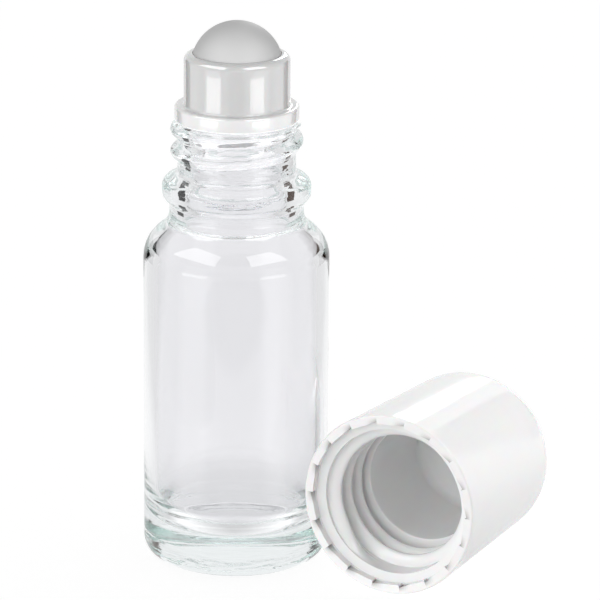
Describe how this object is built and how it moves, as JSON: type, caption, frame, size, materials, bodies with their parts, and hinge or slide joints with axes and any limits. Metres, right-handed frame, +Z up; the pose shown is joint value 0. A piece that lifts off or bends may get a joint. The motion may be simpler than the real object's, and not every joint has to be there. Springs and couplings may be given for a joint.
{
  "type": "roll-on bottle",
  "caption": "Clear glass roll-on bottle with a threaded neck, a plastic ball in a press-in housing, and its white screw cap lying beside it.",
  "frame": {"origin": "centre of the bottle's base, on the surface it stands on", "axes": "+Z up along the bottle's axis, +X from the bottle towards the cap, cap's mouth towards -Y"},
  "size_m": [0.0498, 0.0371, 0.0737],
  "materials": {
    "clear_glass": "polished moulded glass",
    "housing_plastic": "glossy natural plastic",
    "ball_plastic": "fine matte plastic",
    "cap_plastic": "glossy white plastic"
  },
  "bodies": {
    "bottle": {"glass_bottle": "clear_glass", "roller_housing": "housing_plastic"},
    "ball": {"roller_ball": "ball_plastic"},
    "cap": {"screw_cap": "cap_plastic"}
  },
  "joints": [
    {"name": "ball_roll", "type": "hinge", "parent": "bottle", "child": "ball", "pos_m": [0, 0, 0.06756], "axis": [1, 0, 0], "continuous": true},
    {"name": "cap_lift", "type": "slide", "parent": "bottle", "child": "cap", "axis": [0, 0, 1], "range_m": [0, 0.08]}
  ]
}
